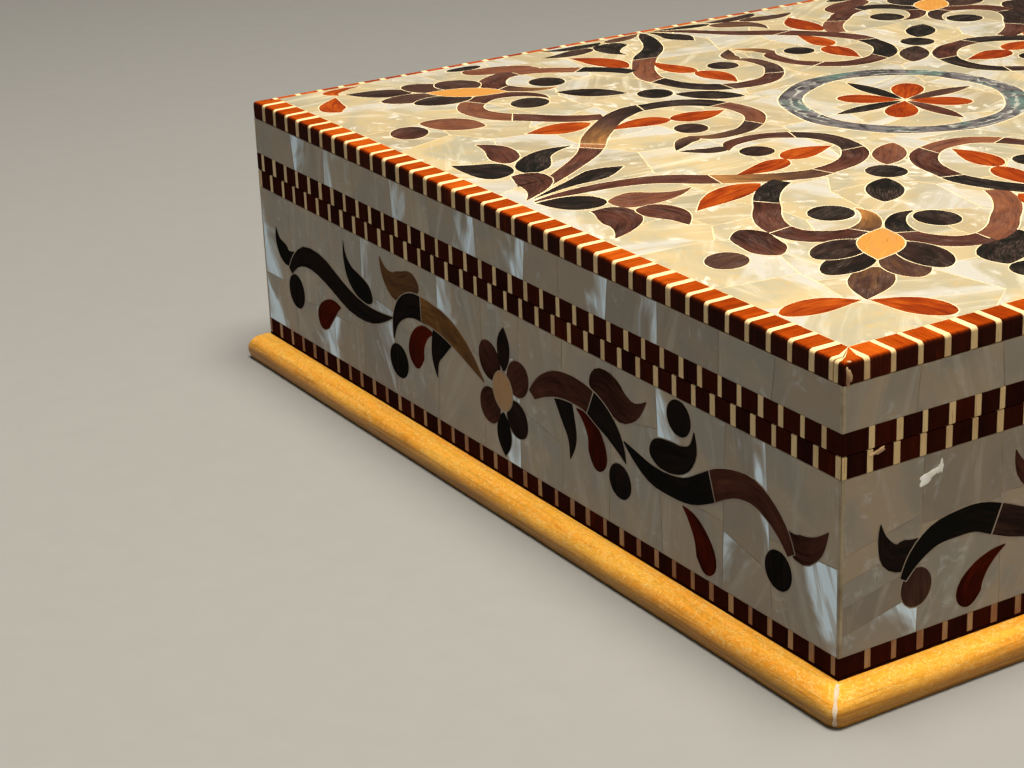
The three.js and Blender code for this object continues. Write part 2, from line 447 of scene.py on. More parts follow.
def beechMaterial(name, pale, dark):
    # varnished beech: broad stripes along the bar, fine cross silk, short curled flecks which are the
    # level lines of a noise, painted shade darkening the section towards the foot under the nose, and
    # grime
    material, wire, feed = newMaterial(name, Coat_Weight=0.2, Coat_Roughness=0.22, Specular_IOR_Level=0.25)
    place = wire.node("UVMap", {"uv_map": "UVMap"})
    down = wire.node("SeparateXYZ", None, {0: place}, out=1) * 1000.0  # millimetres round the section
    stripes = place.stretched(14.0, 170.0, 1.0).noise(1.0, 4.0, 0.6, 0.6)
    silk = place.stretched(420.0, 1250.0, 1.0).noise(1.0, 3.0, 0.6, 1.6)
    lines = place.stretched(24.0, 950.0, 1.0).noise(1.0, 3.0, 0.6, 0.4)
    swirl = place.stretched(260.0, 420.0, 1.0).noise(1.0, 2.0, 0.6, 1.5)
    grime = place.stretched(45.0, 90.0, 1.0).noise(1.0, 4.0, 0.7)
    curls = 1 - wire.maths("ABSOLUTE", swirl - 0.5).eased(0.0, 0.04)
    # painted shade: darker towards the foot of the section, where the underside faces down; the grime
    # noise only ruffles its edge
    foot = (down + grime * 4.0).eased(18.5, 23.5)
    colour = stripes.eased(0.3, 0.7).mixed(pale, dark)
    colour = (silk.eased(0.42, 0.66) * 0.3).mixed(colour, darker(dark, 0.5))
    colour = (curls * (0.35 + silk * 0.6)).mixed(colour, (1.0, 0.74, 0.27))
    colour = (lines.eased(0.5, 0.64) * (0.2 + foot * 0.6)).mixed(colour, darker(dark, 0.35))
    # the painted shade under the nose
    colour = (foot * 0.7).mixed(colour, darker(dark, 0.34))
    colour = (grime.eased(0.6, 0.78) * 0.5).mixed(colour, darker(dark, 0.35))
    relief = (stripes * 0.5 + silk * 0.5).bump(0.6, 0.0005)
    feed(Base_Color=colour, Roughness=0.36 + silk * 0.2, Normal=relief)
    return material


abalone = abaloneMaterial((-0.0155, 0.003, 0.0898))
beech = beechMaterial("varnished_beech", (1.0, 0.535, 0.065), (0.94, 0.385, 0.035))
carcass = boardMaterial("carcass_wood", (0.52, 0.36, 0.21), (0.36, 0.22, 0.11))
filler = glueMaterial("mitre_filler", (0.72, 0.62, 0.5), (0.5, 0.38, 0.26))
print("stage: materials")


# the fields also set the share of tiles that carry a painted highlight
topField = {"left": 147.0, "right": 142.2, "halfY": 152.2, "columns": 11, "rows": 12, "jitter": 6.0,
            "gleams": 0.8, "swing": 3.1}
sideField = {"tile": 22.5, "short": 0.05, "wander": 3.5, "slant": 1.1, "friezeSlant": 2.2, "tilt": 0.06,
             "cut": (0.28, 0.72), "pile": [0.0, 0.17, 0.33, 0.47, 0.62, 1.0], "gleams": 0.5,
             "rightPaintedGleams": 0.12, "swing": 0.6}
tileLook = {"topJoint": 0.16, "sideJoint": 0.13, "mitre": 1.3, "proud": 0.04, "deep": 0.5, "dimmest": 0.45}
rng = np.random.default_rng(11)


def tileMarks(inner, middle, gleamShare, swing):
    # one random tone, seed and painted highlight strength for each tile; uv is the place in the tile,
    # turned to its own lie
    count, corners, _ = inner.shape
    tone = rng.random(count) ** 2
    seed = rng.random(count)
    dimmest = tileLook["dimmest"]
    # the tiles chosen for a painted highlight each get a random strength of it
    shine = np.where(rng.random(count) < gleamShare, dimmest + (1 - dimmest) * rng.random(count), 0.0)
    lie = rng.uniform(-swing, swing, count) + np.pi * (rng.random(count) < 0.5)
    cos, sin = np.cos(lie)[:, None], np.sin(lie)[:, None]
    x, y = np.moveaxis((inner - middle) * toMetres, -1, 0)
    turned = np.stack([x * cos + y * sin, y * cos - x * sin], axis=-1)
    marks = {"tone": tone, "seed": seed, "gleam": shine}
    marks = {key: np.repeat(value, corners * 2) for key, value in marks.items()}
    return {**marks, "uv": np.concatenate([turned, turned], axis=1).reshape(-1, 2)}


def tilePrisms(polygons, joint, place, gleamShare, swing):
    # polygons (tile, corner, 2) drawn in by half a joint towards their middle, then given a thickness
    middle = polygons.mean(axis=1, keepdims=True)
    away = np.linalg.norm(polygons - middle, axis=2, keepdims=True)
    inner = middle + (polygons - middle) * (1 - joint * tileLook["mitre"] / away)
    levels = (-tileLook["deep"], tileLook["proud"])
    rings = np.stack([place(inner[..., 0], inner[..., 1], level) for level in levels], axis=1)
    return (*stackRings(rings), tileMarks(inner, middle, gleamShare, swing))


def topTiles():
    # rows of staggered bricks on one lattice of moved points, so that their tiles share every joint
    f = topField
    x = np.linspace(-f["left"], f["right"], 2 * f["columns"] + 1)
    y = np.linspace(-f["halfY"], f["halfY"], f["rows"] + 1)
    lattice = np.stack(np.meshgrid(x, y), axis=-1)
    move = rng.uniform(-1, 1, lattice.shape) * f["jitter"]
    move[:, [0, -1], 0] = 0
    move[[0, -1], :, 1] = 0
    lattice = lattice + move
    groups = []
    for stagger in (0, 1):
        line = np.arange(stagger, f["rows"], 2)[:, None]
        column = np.arange(stagger, 2 * f["columns"] - 1, 2)[None, :]
        walk = [(0, 0), (0, 1), (0, 2), (1, 2), (1, 1), (1, 0)]
        groups.append(np.stack([lattice[line + a, column + b] for a, b in walk], axis=2).reshape(-1, 6, 2))
    line = np.arange(1, f["rows"], 2)
    for walk in ([(0, 0), (0, 1), (1, 1), (1, 0)], [(0, -2), (0, -1), (1, -1), (1, -2)]):
        groups.append(np.stack([lattice[line + a, b] for a, b in walk], axis=1))

    def place(x, y, level):
        return pointsAt(x, y, boxTop + level)

    joint = tileLook["topJoint"]
    return joinParts([tilePrisms(group, joint, place, f["gleams"], f["swing"]) for group in groups])


def sideTiles(low, high, frieze):
    # upright tiles along each wall, their joints leaning a little; in the frieze each is cut once across
    f = sideField
    made = []
    for wall in wallNames:
        half = wallHalf[wall] - f["short"]
        count = int(round(2 * half / f["tile"]))
        edge = np.linspace(-half, half, count + 1)
        edge[1:-1] += rng.uniform(-f["wander"], f["wander"], count - 1)
        lean = np.zeros((2, count + 1))
        lean[:, 1:-1] = rng.uniform(-1, 1, (2, count - 1)) * f["friezeSlant" if frieze else "slant"]
        foot, head = edge + lean[0], edge + lean[1]
        cuts = [[0.0, cut, 1.0] if frieze else [0.0, 1.0] for cut in rng.uniform(*f["cut"], count)]
        if frieze and wall == "right":
            cuts[0] = f["pile"]  # by the near corner it was laid as a pile of low pieces
        tilt = rng.uniform(-f["tilt"], f["tilt"], count)
        boxes = []
        for column, shares in enumerate(cuts):
            for lower, upper in zip(shares[:-1], shares[1:]):
                tiltLower, tiltUpper = (tilt[column] * (0 < share < 1) for share in (lower, upper))
                sides = [(lower - tiltLower, column), (lower + tiltLower, column + 1),
                         (upper + tiltUpper, column + 1), (upper - tiltUpper, column)]
                boxes.append([(foot[k] + (head[k] - foot[k]) * share, low + (high - low) * share)
                              for share, k in sides])

        def place(along, height, level, wall=wall):
            return onWall(wall, along, level, height)

        gleams = f["rightPaintedGleams" if wall == "right" else "gleams"]
        made.append(tilePrisms(np.array(boxes), tileLook["sideJoint"], place, gleams, f["swing"]))
    return joinParts(made)


# low and high edge of the pearl on the lid's walls and in the frieze
pearlHeights = {"lid": (72.65, 84.15), "frieze": (15.05, 60.95)}
seam = {"wide": 0.9, "bevel": 0.15, "proud": 0.07, "sink": -0.5}


def cornerSeams(low, high):
    # the filled joint where two walls' pearl meets: an angle strip up each of the four corners
    wide, bevel, proud, sink = seam["wide"], seam["bevel"], seam["proud"], seam["sink"]
    section = np.array([[-wide, proud], [-bevel, proud], [proud, -bevel], [proud, -wide], [sink, -wide],
                        [sink, sink], [-wide, sink]])
    parts = []
    for signX, signY in ((1, -1), (1, 1), (-1, 1), (-1, -1)):
        x, y = signX * (wallOut["right"] + section[:, 0]), signY * (wallOut["front"] + section[:, 1])
        parts.append((*stackRings(np.stack([pointsAt(x, y, level) for level in (low, high)])[None]), {}))
    return parts


makePiece("top_pearl_tiles", *topTiles(), topPearl, "pearl")
makePiece("lid_pearl_tiles", *sideTiles(*pearlHeights["lid"], False), shadedWallPearl, "pearl")
makePiece("frieze_pearl_tiles", *sideTiles(*pearlHeights["frieze"], True), shadedWallPearl, "pearl")
seams = cornerSeams(*pearlHeights["frieze"]) + cornerSeams(*pearlHeights["lid"])
makePiece("corner_seams", *joinParts(seams), seamFill, "pearl")
print("stage: pearl tiles")


families = {  # letter: material family and where its tone starts and ends along the piece
    "k": ("horn", 0.02, 0.08), "d": ("horn", 0.28, 0.22), "g": ("horn", 0.5, 0.42),
    "h": ("horn", 0.45, 0.95), "n": ("horn", 0.6, 0.25), "v": ("horn", 0.1, 0.92),
    "x": ("horn", 0.5, 0.98), "w": ("horn", 0.74, 0.66), "b": ("rose", 0.26, 0.2),
    "r": ("rose", 0.62, 0.5), "m": ("rose", 0.05, 0.34), "t": ("rose", 0.95, 0.9),
    "o": ("red", 0.74, 0.64), "c": ("red", 0.2, 0.1), "y": ("box", 0.5, 0.55), "s": ("box", 0.02, 0.1)}
inlayLook = {"proud": 0.055, "layer": 0.022, "stagger": 0.0008, "wood": 0.012, "glue": 0.32, "sink": -0.3,
             "toneSway": 0.06, "toneTurn": 2.4, "grainApart": (37.0, 19.0)}


class Inlay:  # gathers the sawn pieces of one surface by wood, with a pale glue line under each
    def __init__(self, prefix, glueLine, woods):
        self.prefix, self.materials = prefix, {**woods, "glue": glueLine}
        self.parts, self.count = {}, 0

    def add(self, letter, path, ends, place, layer=0, **sawing):
        # a flat prism from the sunk foot to the piece's own level, a little above its neighbours', so
        # that a later layer's glue line lies over an earlier piece
        family, toneFrom, toneTo = families[letter]
        self.count += 1
        look = inlayLook
        level = look["proud"] + look["layer"] * layer + look["stagger"] * (self.count % 7)
        for group, grow, top in ((family, 0.0, level + look["wood"]), ("glue", look["glue"], level)):
            edges = sawnPiece(path, ends, grow=grow, **sawing)
            flat = edges[:, [0, 0, 1, 1]]
            ring = place(flat[..., 0], flat[..., 1], np.array([[look["sink"], top, top, look["sink"]]]))
            run = lengthAlong(edges.mean(axis=1))
            half = np.linalg.norm(edges[:, 0] - edges[:, 1], axis=1) / 2
            side = half[:, None] * np.array([1, 1, -1, -1])
            uv = np.stack([run[:, None] + 0 * side, side], axis=-1)
            uv = (uv + self.count * np.array(look["grainApart"])).reshape(-1, 2) * toMetres
            tone = toneFrom + (toneTo - toneFrom) * run / run[-1]
            tone = np.repeat(tone, 4) + look["toneSway"] * np.sin(self.count * look["toneTurn"])
            part = (*stackRings(ring[None]), {"uv": uv, "tone": tone})
            self.parts.setdefault(group, []).append(part)

    def build(self):
        for group, parts in self.parts.items():
            slotName = "pearl" if group == "glue" else "banding"
            makePiece(f"{self.prefix}_{group}", *joinParts(parts), self.materials[group], slotName)


print("stage: inlay helpers")

# the top: a spine is (across, outward, width) at each knot; everything is drawn for the front's right-hand
# half and repeated round the middle by eights
scrollPath = [(10.3, 77, 0.3), (4.6, 71.6, 5), (3.9, 65.6, 5.5), (4.6, 59.7, 5.5), (7.7, 54.2, 6.3),
              (12.4, 49.1, 6.4), (16.5, 46.6, 6.8), (22.4, 45.6, 7), (28.7, 46.3, 6.8),
              (35.8, 49.7, 8), (41.4, 56.4, 7.6), (44, 66.4, 6.8), (44.5, 71.9, 7.5),
              (42.3, 78.7, 7.8), (38.9, 84.9, 7.6), (35.3, 89.9, 7.8), (31.3, 95.1, 8.1),
              (26.5, 100.7, 8.2), (21.8, 104.9, 8), (17.2, 110.2, 7.2), (13.3, 117, 6.3),
              (9.3, 126.1, 5.7), (5.8, 135.7, 4.4), (3.4, 142.2, 2.7), (1.9, 148.1, 0.9)]
sprayPath = [(44, 83.7, 6), (46.2, 88.9, 6.9), (50, 94.3, 7.3), (54.7, 98.9, 7.4),
             (58.8, 102.1, 7.6), (64.1, 107, 8), (70, 110.4, 8.2), (74, 111.4, 8.1),
             (79.9, 110.8, 8.7), (86.2, 104.8, 8.4), (88.2, 97.6, 7.2), (86.4, 91.6, 6.4),
             (83.4, 87.8, 5.3), (78.4, 84.7, 3.4), (73.9, 84.3, 0.6)]
# each row: woods for the eight copies (front left, front right, right left and so on), spine, ends, sawing
topPieces = [
    *sawnRun(["nbbndnbn", "rdrkrkbb", "kmbkkbkk", ".xkrbkbr", ".bdkbdbk"], scrollPath, "pp",
             [(0, 0), (4.4, 1.2), (8.5, 1.5), (11.5, 0.6), (16.4, 2.2), (24, 0)]),
    *sawnRun(["v.......", "t.......", "b......."], scrollPath, "cp",
             [(11.5, 0.6), (17.7, 0.4), (18.3, 0.4), (24, 0)]),
    row("ndnhdnhn", [(7, 75.1, 5.2), (6.7, 80.4, 5.4), (3.6, 84.9, 3.6), (0.6, 88.7, 0.3)], "rp"),
    row("ddkkkkkd", oval(16.2, 71, 5.3, 5.3)),
    row("oooooooo", leaf((26, 50), (26.2, 63), (28, 69.9), 10, (1.3, 0.6))),
    row("oooooooo", leaf((28, 69.8), (30.3, 76.1), (30.8, 91), 9, (0.6, 1.3))),
    row(".ooooooo", leaf((41.8, 90), (42.4, 101.5), (47.8, 119.1), 11, (0.8, 1.3))),
    row("o.......", leaf((41, 91), (42.2, 101), (45.6, 113.2), 10.6, (0.8, 1.3))),
    row(".kgkkdkg", leaf((3, 148.8), (14.6, 139.1), (21.6, 133.4), 11.2, (1.2, 0.55)), layer=2),
    row("b.......", [(1, 149, 0.4), (2.8, 144.8, 3.6), (6.2, 140.4, 9), (10.6, 137.8, 12.5),
        (15.5, 138.8, 9.5), (18.8, 140.4, 4)], "pr", layer=2),
    row(".bdkgkdk", [(22.6, 141.2, 1.5), (26.5, 139, 9), (32, 137.8, 13), (37.8, 139.2, 12.2),
        (42.4, 143.4, 6.5), (45.3, 148.9, 0.4)], "rp", layer=1),
    row("k.......", [(20.9, 137.6, 10.5), (24, 139.8, 12.3), (28, 142.6, 12.3), (33.5, 145.6, 7),
        (39.7, 148.1, 0.4)], "rp", layer=1),
    row(".bkgdkgd", [(33, 130.8, 7), (38.2, 127.2, 10.5), (45, 125.2, 9.5), (54.4, 127.4, 0.4)], "rp",
        layer=2),
    row("b.......", [(28, 134, 7), (33, 131.4, 10), (39, 129.2, 9), (48, 131, 0.4)], "rp"),
    row(".rdkgkgk", [(20.8, 132.4, 7), (24.8, 127.6, 12.6), (29.4, 120.6, 9.6), (31.4, 113.6, 4.6),
        (30.4, 107, 0.3)], "rp", layer=1),
    row("k.......", [(16, 134.5, 8), (21, 129.5, 11.5), (26.5, 121.5, 7), (26.6, 109.5, 0.3)], "rp"),
    *sawnRun([".k.rkbrk", ".m.kbdbr", ".b.kbbkb", ".x.bhdbh"], sprayPath, "cp",
             [(0, 0), (3.2, -1), (7, 0.6), (10.3, 0.9), (14, 0)]),
    *sawnRun(["b.......", "r.......", "b......."], sprayPath, "cp",
             [(0, 0), (4.8, -1), (8.9, 0.6), (14, 0)]),
    *sawnRun(["..r.....", "..b.....", "..k....."], sprayPath, "cp",
             [(0, 0), (7, 0.6), (10.3, 0.9), (14, 0)]),
    row("kkkkkkkk", oval(73, 92.2, 6, 6.5)),
    row("dd.gddkg", leaf((94.4, 100.4), (95.2, 110), (96.8, 119.4), 12.6, (0.6, 0.6)), layer=2),
    row("..d.....", leaf((94.4, 100.4), (95.6, 112), (98.2, 123.4), 12.8, (0.6, 0.6)), layer=2),
    row("gkggbdkg", leaf((101, 104.6), (104.8, 115), (107.8, 125), 12.4, (0.7, 0.6)), layer=1),
    row(".m......", [(67.2, 119.9, 7), (71.8, 120.9, 11.4), (77.6, 122.4, 11.6), (83.4, 123.4, 10.8),
        (88.4, 124, 7)], "rr"),
    row("..kdgdbr", [(64.5, 111.5, 3), (68, 115.5, 10), (73.7, 120.2, 13.5), (80.5, 124.6, 13.5),
        (84.5, 131, 6)], "pr"),
    row("r.......", leaf((61, 117.7), (69.5, 124), (78.2, 131.9), 12.5, (0.8, 0.7))),
    row(".gkkkkkk", oval(81.9, 137.4, 6.2, 6.2)),
    row("m.......", oval(72.5, 139.8, 6.2, 6.2)),
    row("..ooooo.", leaf((129.6, 128.9), (142, 124.6), (151.4, 124.6), 11.2, (1.25, 0.55))),
    row(".o......", leaf((129.3, 128.7), (141.4, 121.4), (150.4, 118.9), 11.4, (1.4, 0.5))),
    row("o.......", [(129.5, 131.5, 0.4), (134, 132.5, 5), (140, 130.5, 10), (143, 126, 9),
        (141.5, 120, 0.4)]),
    row(".......o", [(134.5, 126.5, 0.4), (138.5, 121, 6), (142.5, 115, 10.5), (143.8, 110.5, 9.5),
        (143.6, 106.8, 4)], "pr"),
]
# these lie on an axis or a diagonal, so there are four of each
topSingles = [
    row("kkkk", [(0, 109.8, 0.4), (0, 118.8, 9.2), (0, 130.5, 5), (0, 146.6, 0.4)]),
    row("rrdk", leaf((35, 35), (43, 43), (50.8, 50.8), 9.9, (0.8, 0.8))),
    row("kkkk", oval(55.3, 55.3, 5.8, 5.8)),
    row("kkk.", leaf((59.8, 59.8), (67.2, 67.2), (74.6, 74.6), 10.3, (0.8, 0.8))),
    row("...k", leaf((61.6, 61.6), (70, 70), (78.4, 78.4), 10)),
    row("yyyy", leaf((89.8, 89.8), (98.4, 98.4), (107.6, 107.6), 12.2, (1.1, 1.1)), layer=3),
    row("gkgd", [(111.5, 111.5, 8), (120.8, 120.8, 11.5), (129.3, 128.7, 0.4)], "rp"),
    row("oooo", leaf((0.8, 0.8), (9.6, 9.6), (14.9, 14.9), 10.3, (1.1, 0.55))),
    row("kbgk", leaf((0, 1), (0, 15), (0, 27.5), 6.2)),
]


def fadeIn(a, b, x):
    # 0 below a, 1 above b, and the smooth cubic between
    t = np.clip((x - a) / (b - a), 0, 1)
    return t * t * (3 - 2 * t)


warp = {"half": 152, "shift": -16.5, "rightBack": 6.5, "rightZone": (40, 110), "leftMore": -2,
        "leftZone": (0, 60), "leftBack": 24.5, "bow": 18.5, "back": 2, "leftForward": 10,
        "leafForward": 3.5, "leafZone": ((86, 104), (80, 100), (128, 150))}


def topPlace(turn, flip):
    # the square drawing is turned and mirrored, then eased to the lid: the whole middle sits to the left,
    # as it was laid by hand, and comes back to the borders at the ends
    def place(u, v, level):
        p, q = flip * u, -v
        for _ in range(turn):
            p, q = -q, p
        w = warp
        across, along = np.clip(p / w["half"], -1, 1), q / w["half"]
        onRight = w["rightBack"] * fadeIn(*w["rightZone"], p)
        onLeft = w["leftMore"] * fadeIn(*w["leftZone"], -p) + w["leftBack"] * np.abs(across) ** 6
        x = p + w["shift"] + np.where(p > 0, onRight, onLeft)
        x = x + w["bow"] * along ** 4 * (1 - across ** 2) ** 2
        forward = np.where(p < 0, w["leftForward"] * across ** 4 * (1 - along ** 2) ** 2, 0)
        outward, forwards, edge = w["leafZone"]
        leafArea = fadeIn(*outward, -p) * fadeIn(*forwards, -q) * (1 - fadeIn(*edge, -q))
        y = q + w["back"] * (1 - along ** 2) - forward - w["leafForward"] * leafArea
        return pointsAt(x, y, boxTop + level)
    return place


topInlay = Inlay("top_inlay", topGlue, topWoods)
for turn in range(4):
    drawings = ((topSingles, turn, 1), (topPieces, 2 * turn, -1), (topPieces, 2 * turn + 1, 1))
    for pieces, number, flip in drawings:
        for woods, path, ends, sawing in pieces:
            if woods[number] != ".":
                topInlay.add(woods[number], path, ends, topPlace(turn, flip), **sawing)
topInlay.build()

ringLook = {"outer": 38.7, "inner": 31.3, "wave": 0.35, "proud": 0.1, "glueProud": 0.05, "glue": 0.4,
            "steps": 160}


def ringPiece(name, grow, level, material):
    # a flat ring round the middle, its radii waved a little: by sin(9 a + 1) outside, sin(7 a) inside
    look = ringLook
    angle = np.linspace(0, 2 * np.pi, look["steps"], endpoint=False)
    outer = look["outer"] + look["wave"] * np.sin(9 * angle + 1.0) + grow
    inner = look["inner"] + look["wave"] * np.sin(7 * angle) - grow
    radius = np.stack([inner, inner, outer, outer], axis=1)
    levels = np.array([[inlayLook["sink"], level, level, inlayLook["sink"]]])
    ring = topPlace(0, 1)(radius * np.sin(angle)[:, None], radius * np.cos(angle)[:, None], levels)
    index = np.arange(4 * len(angle)).reshape(-1, 4)
    quads = quadsBetween(np.concatenate([index, index[:1]]))
    makePiece(name, ring.reshape(-1, 3), [quads], {}, material, "pearl")


ringPiece("top_ring", 0.0, ringLook["proud"], abalone)
ringPiece("top_ring_glue", ringLook["glue"], ringLook["glueProud"], topGlue)
print("stage: top inlay")

# the frieze: a spine is (along the wall from its middle, height, width); the right half also serves,
# mirrored, for the other walls' left halves
friezeMiddle = [
    row("s", oval(2, 35.9, 5.2, 5.8), layer=3),
    row("m", leaf((-0.2, 38.6), (-4.6, 43.2), (-9.2, 47.6), 11.2, (0.6, 0.55))),
    row("b", leaf((5, 38.4), (10.2, 42), (15, 46), 10.6, (0.6, 0.55))),
    row("m", leaf((-0.6, 33.4), (-5.2, 29.4), (-9.6, 25.6), 11, (0.6, 0.55))),
    row("d", leaf((4.6, 33.2), (9.4, 29.4), (13.8, 25.6), 10.8, (0.6, 0.55))),
    row("k", leaf((2.8, 42.2), (3.1, 49.4), (3.6, 55.7), 6.8, (0.7, 1))),
    row("k", leaf((2, 29.4), (2, 22.6), (2.2, 15.9), 7.8, (0.7, 1))),
]
rightArch = [(17.2, 39.6, 3.2), (23, 43.9, 6), (30, 46.9, 7.5), (38, 47.9, 7.8), (45, 47.4, 7.8),
             (51, 45.3, 8.3), (56.5, 42.4, 7), (60.5, 38.9, 4.6), (63.5, 34.9, 0.5)]
rightStem = [(62.5, 41, 0.5), (68, 38.4, 3.5), (75, 36, 5.5), (83, 35.7, 6), (91, 36.9, 7),
             (98, 40.1, 8), (104.5, 43.6, 8), (111, 45.9, 7.2), (118, 46.4, 7), (125, 43.6, 6),
             (129.4, 40, 5), (133, 34.9, 3)]
friezeRight = [
    *sawnRun("bk", rightArch, "cp", [(0, -0.8), (4.3, 0.6), (8, 0)], layer=2),
    *sawnRun("kb", rightStem, "pc", [(0, 0), (5.5, 0.8), (11, 0)], layer=2),
    row("m", [(127.8, 44.4, 0.4), (131.5, 39.6, 4), (135.5, 38, 7.5), (141, 39.9, 6),
        (146.8, 46.4, 0.3)]),
    row("k", oval(128, 29.2, 5.3, 5.3)),
    row("k", oval(60.5, 28.7, 5.2, 5)),
    row("m", [(46.8, 51.9, 6), (51, 53.5, 9), (56, 52.9, 11), (61.5, 50.6, 10), (67, 50.9, 5.5),
        (73.2, 55.4, 0.3)], "rp"),
    row("k", [(74.2, 42, 6), (78, 43, 8), (83.5, 43.6, 8.8), (89.5, 45.2, 7), (93, 48.4, 4),
        (93.8, 53.9, 0.5)], "rp"),
    row("k", oval(87.3, 55.6, 5.2, 4.9)),
    row("c", [(88.6, 32, 0.4), (92.5, 29.9, 3.8), (96.5, 25.9, 6.8), (98.7, 20.9, 8.7),
        (98.3, 16.4, 7)], "pr"),
    row("k", [(31.5, 47.2, 9.5), (35.4, 39.6, 7.6), (37.6, 33.4, 4.6), (36.4, 26.9, 0.3)], "cp"),
    row("c", [(40.2, 43, 0.5), (45, 41.1, 4.2), (48.5, 37.9, 7.2), (50, 33.4, 9), (49.2, 28, 7)], "pr"),
]
leftArch = [(-61, 33.4, 0.5), (-59, 40.2, 4), (-55, 44.6, 6.5), (-49, 47.2, 7.8), (-43.5, 47.6, 8),
            (-37, 47.4, 7.6), (-30, 46.4, 7.5), (-23, 44.2, 7), (-16, 40.6, 5), (-8.2, 35.6, 0.5)]
friezeLeft = [
    *sawnRun("kw", leftArch, "pp", [(0, 0), (4, 0), (9, 0)], layer=2),
    row("w", [(-67.8, 57.9, 0.4), (-64.5, 52.9, 5), (-60, 50.8, 8.7), (-54, 51.6, 10), (-48, 53.9, 8),
        (-44, 53.4, 6)], "pr"),
    row("c", [(-36.5, 41.8, 0.5), (-41.5, 40.7, 4.5), (-45.5, 37.4, 7.5), (-47.5, 32.4, 9.5),
        (-47, 27.6, 7)], "pr"),
    row("k", [(-28.5, 46.4, 11), (-33.5, 39.6, 8.5), (-35.8, 34.4, 4.5), (-35, 28.4, 0.3)], "cp"),
    row("k", oval(-58.5, 26.7, 5.7, 5.5)),
    row("k", [(-61.2, 39.9, 0.4), (-68, 37.9, 3), (-75, 36.6, 5.2), (-83, 36.7, 6.5), (-90, 37.9, 7.4),
        (-98, 40.7, 7.6), (-106, 43.4, 8), (-113, 44.6, 7.5), (-120, 43.9, 6.5), (-125, 41.4, 4.8),
        (-130, 36.4, 2.6)], "pc", layer=2),
    row("k", [(-138.7, 49.6, 0.3), (-137.5, 44.9, 4.2), (-134.5, 42.2, 7), (-130.5, 41, 6),
        (-126.3, 43.9, 0.4)]),
    row("k", oval(-126.3, 30.4, 5.5, 5.8)),
    row("c", [(-95.5, 33.4, 0.4), (-99.5, 32.4, 4.5), (-104, 29.9, 7.5), (-107.5, 26.9, 8.5),
        (-109.5, 22.6, 7)], "pr"),
    row("k", [(-91.2, 56.9, 0.3), (-90.5, 51.4, 2.5), (-87.5, 46.9, 6), (-82, 44.2, 8), (-77, 42.9, 7),
        (-73.8, 41.4, 5)], "pr"),
]
cornerStem = [(-139.8, 30.1, 2), (-136.1, 35.3, 4.5), (-130, 39.4, 6.2), (-123.2, 40.4, 7),
              (-116.4, 40.3, 7.5), (-110.2, 38.2, 8.2), (-104, 35.8, 8), (-97, 33.8, 7),
              (-88, 33.4, 6), (-78, 34.9, 5), (-70, 37.6, 3.5), (-64, 40.4, 0.5)]
friezeCorner = [  # the right wall's end by the front corner
    row("k", [(-147, 46.7, 0.3), (-146.1, 41.8, 3.4), (-143.3, 37.4, 6.8), (-139, 36.6, 8.2),
        (-134, 38.6, 3.5)]),
    *sawnRun("kd", cornerStem, "cp", [(0, 0), (5, 0.2), (11, 0)], layer=2),
    row("g", oval(-135.5, 27.1, 4.8, 5.2)),
    row("c", [(-107.1, 30.5, 0.4), (-111.6, 28.7, 3.2), (-115.7, 25.7, 6), (-118.4, 21.6, 8.3),
        (-118.4, 16.9, 7)], "pr"),
    row("m", [(-104.9, 55, 0.4), (-102.6, 49.5, 4), (-98, 46, 7), (-92, 43.6, 8.6), (-86, 42.4, 7)],
        "pr"),
    row("k", oval(-95.3, 55.6, 5.2, 4.9)),
]


friezeFit = {"fold": 3.0, "drawnMiddle": 2.0, "middle": 1.0, "leftStretch": 1.04, "nearMiddle": 75}


def mirrored(pieces, reach=np.inf):
    # the same pieces on the other side of the wall's middle, but only those that stay within reach of it
    flipped = []
    for woods, path, ends, sawing in pieces:
        path = np.array(path, dtype=float)
        if path[:, 0].max() < reach:
            path[:, 0] = friezeFit["fold"] - path[:, 0]
            slants = sawing.get("slants", (0, 0))
            flipped.append((woods, path, ends, {**sawing, "slants": (-slants[0], -slants[1])}))
    return flipped


rightHalf = friezeMiddle + friezeRight
friezes = {
    "front": rightHalf + friezeLeft,
    "right": rightHalf + mirrored(friezeRight, friezeFit["nearMiddle"]) + friezeCorner,
    "back": rightHalf + mirrored(friezeRight),
    "left": rightHalf + mirrored(friezeRight)}
for wall in wallNames:
    def friezePlace(along, height, level, wall=wall):
        stretch = friezeFit["leftStretch"] if wall == "left" else 1.0
        fitted = (along - friezeFit["drawnMiddle"]) * stretch + friezeFit["middle"]
        return onWall(wall, fitted, level, height)

    wallInlay = Inlay(f"{wall}_frieze", shadedWallGlue, wallWoods)
    for wood, path, ends, sawing in friezes[wall]:
        wallInlay.add(wood, path, ends, friezePlace, **sawing)
    wallInlay.build()
print("stage: frieze inlay")


bands = {
    "pitch": 8.04, "strip": 1.85, "seam": 0.05, "wander": 0.25, "uneven": 0.15, "toneSpread": 0.13,
    "rowsOf": {  # low, high, thickness inward, first strip's place on front and back, on right and left
        "body_lower_band": (9.9, 15.0, 1.5, -141.4, -151.0),
        "body_upper_band": (61.0, 66.7, 1.5, -140.6, -151.6),
        "lid_lower_band": (66.9, 72.6, 1.5, -137.7, -151.0),
        "lid_edge_band": (84.2, 89.8, 7.8, -135.0, -153.1)},
    "bevel": 0.12, "endBevel": 0.16, "soft": 0.1, "proud": 0.04, "mitre": 0.02, "arris": 1.0,
    # the arris tone is a painted highlight on the edge band's rounded top
    "arrisPaintedHighlight": 0.54, "edgeFoot": 0.3, "leftEdge": 3.0,  # the top of the left edge band is a narrow one
    "most": 44, "shortestStrip": 0.5, "shortestBlock": 0.6, "firstStrip": -156.5,
    "thinPair": [[144.7, 146.6], [146.2, 148.0]], "grainApart": 31.0, "grainStart": 500.0}


